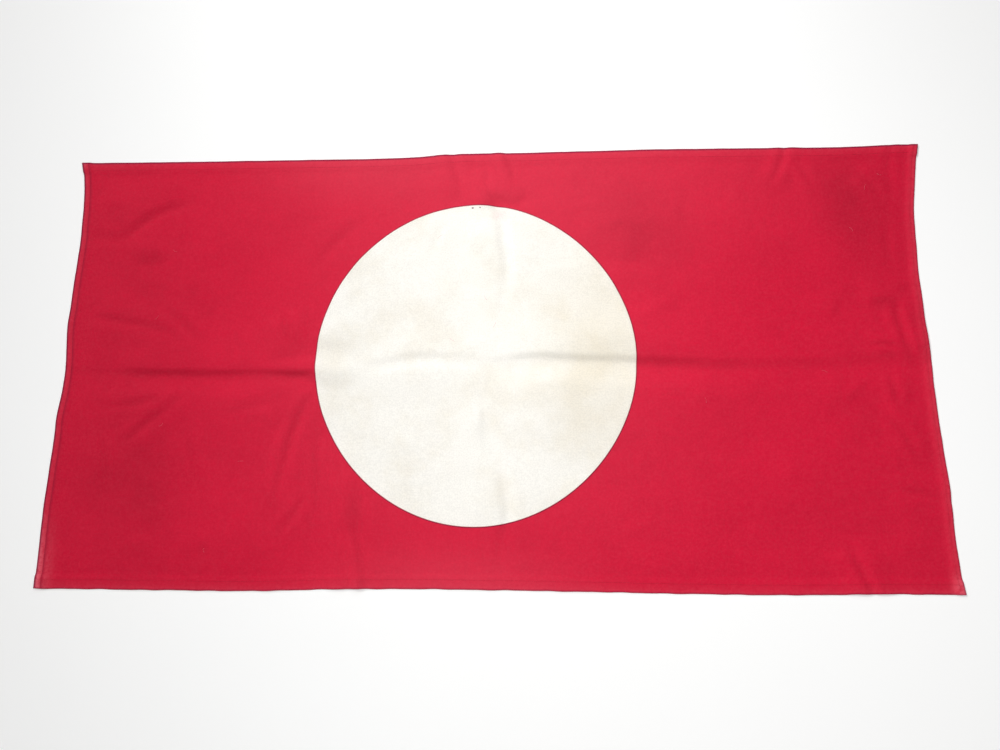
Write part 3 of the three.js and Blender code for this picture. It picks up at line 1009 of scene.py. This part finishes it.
def white_cotton(colours):
    """White plain-weave cotton, granular, yellowed in clouds, with painted shade over its right half and a
    rim reddened to carry the painted shadow line round its edge.
    """
    material, tree, shader = new_material("White plain-weave cotton")
    place = add(tree, "ShaderNodeTexCoord").outputs["Object"]
    cut = add(tree, "ShaderNodeUVMap", uv_map="Cut").outputs["UV"]
    slub = slubs(tree, cut)

    clouds = fitted(tree, grain(tree, place, 9, 4.0, 0.6), 0.40, 0.70)
    # painted shade: the disc yellower and darker over its right half, where less light falls
    right_shade_and_yellowing = maths(tree, "MULTIPLY", spot(tree, place, (220, 30), (200, 300), 1.0), 0.6)
    shaded_and_soiled = maths(tree, "ADD", maths(tree, "MULTIPLY", clouds, 0.38), right_shade_and_yellowing, clamp=True)
    body = mixed(tree, shaded_and_soiled, list(colours.white), list(colours.white_soiled_and_shaded))
    speckle = fitted(tree, grain(tree, place, 420, 3.0, 0.65), 0.3, 0.7, 0.93, 1.05)
    threads = fitted(tree, slub, 0.38, 0.62, 0.98, 1.01)
    body = mixed(tree, 1.0, body, grey(tree, maths(tree, "MULTIPLY", speckle, threads)), "MULTIPLY")
    rubbed_off = maths(tree, "MULTIPLY", spot(tree, place, (22, 262), (24, 16), 1.0), 0.12)
    body = mixed(tree, rubbed_off, body, list(colours.red_faded_and_lit))
    larger_speck = spot(tree, place, (-27, 275.5), (2.6, 1.8), 0.5)
    smaller_speck = spot(tree, place, (-14, 276), (1.8, 1.4), 0.5)
    specks = maths(tree, "MAXIMUM", larger_speck, smaller_speck)
    body = mixed(tree, maths(tree, "MULTIPLY", specks, 0.8), body, list(colours.dark_red_shade_and_marks))
    # painted shade: the rim is reddened so that it carries the painted shadow line round the disc's edge
    rim = maths(tree, "MULTIPLY", disc_seam(tree, place, -0.2, 3.0), 0.5)
    body = mixed(tree, rim, body, list(colours.red))
    tree.links.new(body, shader.inputs["Base Color"])

    tree.links.new(fitted(tree, slub, 0.40, 0.60, 0.80, 0.92), shader.inputs["Roughness"])
    shader.inputs["Specular IOR Level"].default_value = 0.25
    shader.inputs["Sheen Weight"].default_value = 0.08
    shader.inputs["Sheen Roughness"].default_value = 0.5
    cloth_bump(tree, shader, cut, place, 1.0 * MM, slub, 0.45 * MM)
    return material


def sewing_thread(name, value):
    """Twisted cotton sewing thread."""
    material, tree, shader = new_material(name)
    place = add(tree, "ShaderNodeTexCoord").outputs["Object"]
    turned = add(tree, "ShaderNodeMapping", {"Vector": place, "Rotation": (0, 0, math.radians(35))})
    twist = add(
        tree, "ShaderNodeTexWave", {"Vector": turned.outputs[0], "Scale": math.pi / 20 / (0.25 * MM)}
    ).outputs["Fac"]
    fuzz = grain(tree, place, 1500, 2.0)
    share = maths(tree, "MULTIPLY", maths(tree, "ADD", twist, fuzz), 0.25)
    darker = [c * 0.7 for c in value[:3]] + [1.0]
    tree.links.new(mixed(tree, share, list(value), darker), shader.inputs["Base Color"])
    bump = add(tree, "ShaderNodeBump", {"Distance": 0.05 * MM, "Height": twist})
    tree.links.new(bump.outputs[0], shader.inputs["Normal"])
    shader.inputs["Roughness"].default_value = 0.7
    shader.inputs["Specular IOR Level"].default_value = 0.3
    return material


def floor_paint(colours):
    """A matt pale floor, very slightly uneven in tone, that glows a little so that it stays pale."""
    material, tree, shader = new_material("Matt pale floor paint")
    place = add(tree, "ShaderNodeTexCoord").outputs["Object"]
    tone = fitted(tree, grain(tree, place, 1.3, 2.0, 0.5), 0.3, 0.7, 0.0, 0.5)
    darker = [c * 0.97 for c in colours.floor[:3]] + [1.0]
    tree.links.new(mixed(tree, tone, list(colours.floor), darker), shader.inputs["Base Color"])
    shader.inputs["Roughness"].default_value = 0.9
    shader.inputs["Specular IOR Level"].default_value = 0.2
    shader.inputs["Emission Color"].default_value = linear("#ffffff")
    shader.inputs["Emission Strength"].default_value = 0.38
    return material


# ---------------------------------------------------------------------------------------------------
# Operators
# ---------------------------------------------------------------------------------------------------


class FLAG_OT_red_cloth(bpy.types.Operator):
    """Makes the red cloth: one hemmed sheet with its folds, creases and uneven edges"""

    bl_idname = "flag.red_cloth"
    bl_label = "Red cloth"

    def execute(self, context):
        sizes = context.scene.flag_sizes
        step = sizes.cloth + sizes.layer_gap
        edge_x = HALF_LENGTH - step / 2 - sizes.cloth / 2
        edge_y = HALF_DROP - step / 2 - sizes.cloth / 2
        side_hems, long_hems = (sizes.pole_hem, sizes.free_hem), (sizes.long_hem, sizes.long_hem)
        columns = red_stations(edge_x, side_hems, side_hems, DOWN_FOLD, sizes)
        rows = red_stations(edge_y, long_hems, (4.8 * MM, 4.8 * MM), ACROSS_FOLD, sizes)

        bm = bmesh.new()
        count_x, count_y = len(columns[0]) - 1, len(rows[0]) - 1
        bmesh.ops.create_grid(bm, x_segments=count_x, y_segments=count_y, size=1)
        grid = np.array([vert.co.xy for vert in bm.verts])
        column = np.rint((grid[:, 0] + 1) / 2 * count_x).astype(int)
        row = np.rint((grid[:, 1] + 1) / 2 * count_y).astype(int)
        flat_x, turn_x, cut_x = (values[column] for values in columns)
        flat_y, turn_y, cut_y = (values[row] for values in rows)
        x, y, height = red_layers(flat_x, turn_x, flat_y, turn_y, sizes)
        x, y = laid(x, y)
        lift, shade_and_soil = ground(x, y, sizes)
        height = height + lift
        pole, free = (edge_x + flat_x) / MM, (edge_x - flat_x) / MM
        lower, upper = (edge_y + flat_y) / MM, (edge_y - flat_y) / MM
        marks = edge_marks(pole, free, lower, upper, shade_and_soil, sizes)

        layers = [bm.verts.layers.float.new(name) for name in ("Wear", "Crease shade and grime", "Painted edge shade")]
        uv_layer = bm.loops.layers.uv.new("Cut")
        for vert, *place in zip(bm.verts, x, y, height):
            vert.co = place
        for layer, values in zip(layers, marks):
            for vert, value in zip(bm.verts, values):
                vert[layer] = value
        for face in bm.faces:
            for loop in face.loops:
                loop[uv_layer].uv = (cut_x[loop.vert.index], cut_y[loop.vert.index])

        piece = finish_piece("red_cloth", bm, red_cotton(context.scene.flag_colours))
        thicken(piece, sizes.cloth)
        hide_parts("red_field")
        return {"FINISHED"}


class FLAG_OT_white_disc(bpy.types.Operator):
    """Makes the white disc from a copy of the red cloth's surface, so that it follows every fold"""

    bl_idname = "flag.white_disc"
    bl_label = "White disc"

    def execute(self, context):
        sizes = context.scene.flag_sizes
        red = bpy.data.objects.get("red_cloth")
        if red is None:
            raise RuntimeError("make the red cloth first")
        bm = bmesh.new()
        bm.from_mesh(red.data)
        centres = np.array([face.calc_center_median() for face in bm.faces])
        far = inside_disc(centres[:, 0], centres[:, 1]) < -8 * MM
        outside = [face for face, is_far in zip(bm.faces, far) if is_far]
        bmesh.ops.delete(bm, geom=outside, context="FACES")
        rise = sizes.cloth / 2 + sizes.layer_gap + sizes.disc_cloth / 2
        bmesh.ops.translate(bm, verts=bm.verts, vec=(0, 0, rise))
        outline = disc_outline(0, 180)
        for a, b in zip(outline, outline[1:]):
            outward = Vector((b[1] - a[1], a[0] - b[0], 0)).normalized()
            bmesh.ops.bisect_plane(
                bm, geom=bm.verts[:] + bm.edges[:] + bm.faces[:], plane_co=(a[0], a[1], 0),
                plane_no=outward, clear_outer=True, dist=1e-6,
            )
        piece = finish_piece(
            "white_disc_cloth", bm, white_cotton(context.scene.flag_colours)
        )
        thicken(piece, sizes.disc_cloth)
        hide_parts("white_disc")
        return {"FINISHED"}


class FLAG_OT_stitching(bpy.types.Operator):
    """Sews the hems with red thread and the disc with white thread"""

    bl_idname = "flag.stitching"
    bl_label = "Stitching"

    def execute(self, context):
        sizes = context.scene.flag_sizes
        colours = context.scene.flag_colours
        rng = random.Random(3)

        proud = 0.04 * MM  # how far a stitch's middle lies above the cloth's upper side

        tree = cloth_tree("red_cloth")
        pole = -HALF_LENGTH + sizes.pole_hem - sizes.stitch_inset
        free = HALF_LENGTH - sizes.free_hem + sizes.stitch_inset
        long = HALF_DROP - sizes.long_hem + sizes.stitch_inset
        along_x = np.linspace(-HALF_LENGTH, HALF_LENGTH, 400)
        along_y = np.linspace(-HALF_DROP, HALF_DROP, 200)
        lines = [(np.full_like(along_y, side), along_y) for side in (pole, free)]
        lines += [(along_x, np.full_like(along_x, side)) for side in (-long, long)]
        pairs = [
            pair for line in lines
            for pair in stitch_places(np.column_stack(laid(*line)), sizes, rng)[1:-1]
        ]
        bm = stitches(on_cloth(tree, pairs, sizes.cloth / 2 + proud), sizes)
        thread = sewing_thread("Red cotton thread", colours.red_thread)
        finish_piece("hem_stitching", bm, thread)

        tree = cloth_tree("white_disc_cloth")
        pairs = stitch_places(disc_outline(sizes.disc_inset, 360), sizes, rng)
        bm = stitches(on_cloth(tree, pairs, sizes.disc_cloth / 2 + proud), sizes)
        thread = sewing_thread("White cotton thread", colours.white_thread)
        finish_piece("disc_stitching", bm, thread)
        return {"FINISHED"}


class FLAG_OT_lint(bpy.types.Operator):
    """Scatters a few loose fibres over the cloth"""

    bl_idname = "flag.lint"
    bl_label = "Lint"

    def execute(self, context):
        sizes = context.scene.flag_sizes
        rng = random.Random(11)
        radius, joint = 0.12 * MM, 1.6 * MM
        clear_of_seam = 25 * MM
        red_tree, disc_tree = cloth_tree("red_cloth"), cloth_tree("white_disc_cloth")
        bm = bmesh.new()
        for _ in range(16):
            x, y = rng.uniform(-0.68, 0.68), rng.uniform(-0.33, 0.33)
            heading, bend = rng.uniform(0, 2 * math.pi), rng.uniform(-0.5, 0.5)
            inside = inside_disc(x, y)
            if abs(inside) < clear_of_seam:
                continue
            tree, half = (disc_tree, sizes.disc_cloth / 2) if inside > 0 else (red_tree, sizes.cloth / 2)
            path = []
            for _ in range(7):
                point, normal = drop(tree, x, y)
                path.append(point + normal * (half + radius + 0.05 * MM))
                heading += bend
                x += joint * math.cos(heading)
                y += joint * math.sin(heading)
            fibre(bm, path, radius)
        sort_faces(bm)
        fluff = sewing_thread("Cotton lint", context.scene.flag_colours.lint)
        finish_piece("lint", bm, fluff)
        return {"FINISHED"}


def fibre(bm, path, radius):
    """Extrudes a thin round fibre along a path."""
    ring = None
    for a, b in zip(path, path[1:] + [2 * path[-1] - path[-2]]):
        matrix = Matrix.Translation(a) @ (b - a).to_track_quat("Z", "Y").to_matrix().to_4x4()
        if ring is None:
            made = bmesh.ops.create_circle(bm, cap_ends=True, radius=radius, segments=5, matrix=matrix)
            verts = made["verts"]
        else:
            made = bmesh.ops.extrude_edge_only(bm, edges=ring)
            verts = [item for item in made["geom"] if isinstance(item, bmesh.types.BMVert)]
            bmesh.ops.transform(bm, matrix=matrix @ last.inverted(), verts=verts)
        ring = [edge for edge in bm.edges if all(vert in verts for vert in edge.verts)]
        last = matrix
    bmesh.ops.contextual_create(bm, geom=ring)


CAMERA_PLACE = (0.0793, -0.2430, 1.2057)
CAMERA_TURN = (10.26, 2.71, 0.12)  # degrees about X, Y and Z
FLOOR_HALF = 6  # half the floor's side, in metres


class FLAG_OT_stage(bpy.types.Operator):
    """Lays the floor and sets the lights and the camera"""

    bl_idname = "flag.stage"
    bl_label = "Stage"

    def execute(self, context):
        colours = context.scene.flag_colours
        bm = bmesh.new()
        bmesh.ops.create_grid(bm, x_segments=40, y_segments=40, size=FLOOR_HALF)
        mesh = bpy.data.meshes.new("floor")
        bm.to_mesh(mesh)
        bm.free()
        mesh.materials.append(floor_paint(colours))
        floor = bpy.data.objects.new("floor", mesh)
        context.scene.collection.objects.link(floor)

        sun_light("Key", (-0.62, 0.52, 0.58), 8, 1.9)
        area_light("Overhead", (0.02, 0.1, 1.25), (0.02, 0.1, 0), 0.4, 6.5)
        area_light("Upper side", (-0.05, 1.3, 0.9), (0, 0.2, 0), 0.6, 7.6)
        area_light("Lower right", (0.85, -0.4, 1.15), (0.7, -0.25, 0), 0.4, 2.2)
        area_light("Lower side", (-0.1, -0.75, 1.1), (-0.05, -0.42, 0), 0.4, 2.2)

        world = bpy.data.worlds.new("Soft studio")
        world.use_nodes = True
        background = world.node_tree.nodes["Background"]
        background.inputs["Color"].default_value = linear("#ffffff")
        background.inputs["Strength"].default_value = 0.03
        context.scene.world = world
        context.scene.view_settings.view_transform = "Standard"

        lens = bpy.data.cameras.new("Camera")
        lens.lens = 26
        lens.sensor_width = 36
        camera = bpy.data.objects.new("Camera", lens)
        camera.location = CAMERA_PLACE
        camera.rotation_euler = [math.radians(angle) for angle in CAMERA_TURN]
        context.scene.collection.objects.link(camera)
        context.scene.camera = camera
        return {"FINISHED"}


def sun_light(name, toward, angle, strength):
    """A distant light that comes from a direction, as wide in the sky as an angle in degrees."""
    light = bpy.data.lights.new(name, "SUN")
    light.angle = math.radians(angle)
    light.energy = strength
    lamp = bpy.data.objects.new(name, light)
    lamp.rotation_euler = Vector(toward).to_track_quat("Z", "Y").to_euler()
    bpy.context.scene.collection.objects.link(lamp)


def area_light(name, place, aim, size, watts):
    """A square soft light aimed at a point."""
    light = bpy.data.lights.new(name, "AREA")
    light.size = size
    light.energy = watts
    lamp = bpy.data.objects.new(name, light)
    lamp.location = place
    lamp.visible_camera = False
    lamp.rotation_euler = (Vector(aim) - Vector(place)).to_track_quat("-Z", "Y").to_euler()
    bpy.context.scene.collection.objects.link(lamp)


class FLAG_PT_build(bpy.types.Panel):
    """Lists what a user can change and the pieces in the order they are made"""

    bl_idname = "FLAG_PT_build"
    bl_label = "Cotton flag"
    bl_space_type = "VIEW_3D"
    bl_region_type = "UI"
    bl_category = "Flag"

    def draw(self, context):
        for group in (context.scene.flag_sizes, context.scene.flag_colours):
            box = self.layout.box()
            for name in group.bl_rna.properties.keys():
                if name not in ("rna_type", "name"):
                    box.prop(group, name)
        for operator in OPERATORS:
            self.layout.operator(operator.bl_idname)


OPERATORS = (FLAG_OT_red_cloth, FLAG_OT_white_disc, FLAG_OT_stitching, FLAG_OT_lint, FLAG_OT_stage)
CLASSES = (FlagSizes, FlagColours, *OPERATORS, FLAG_PT_build)


def register():
    for cls in CLASSES:
        bpy.utils.register_class(cls)
    bpy.types.Scene.flag_sizes = bpy.props.PointerProperty(type=FlagSizes)
    bpy.types.Scene.flag_colours = bpy.props.PointerProperty(type=FlagColours)


def unregister():
    del bpy.types.Scene.flag_colours
    del bpy.types.Scene.flag_sizes
    for cls in reversed(CLASSES):
        bpy.utils.unregister_class(cls)


def main():
    register()
    bpy.ops.flag.red_cloth()
    bpy.ops.flag.white_disc()
    bpy.ops.flag.stitching()
    bpy.ops.flag.lint()
    bpy.ops.flag.stage()
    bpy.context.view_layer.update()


if __name__ == "__main__":
    main()
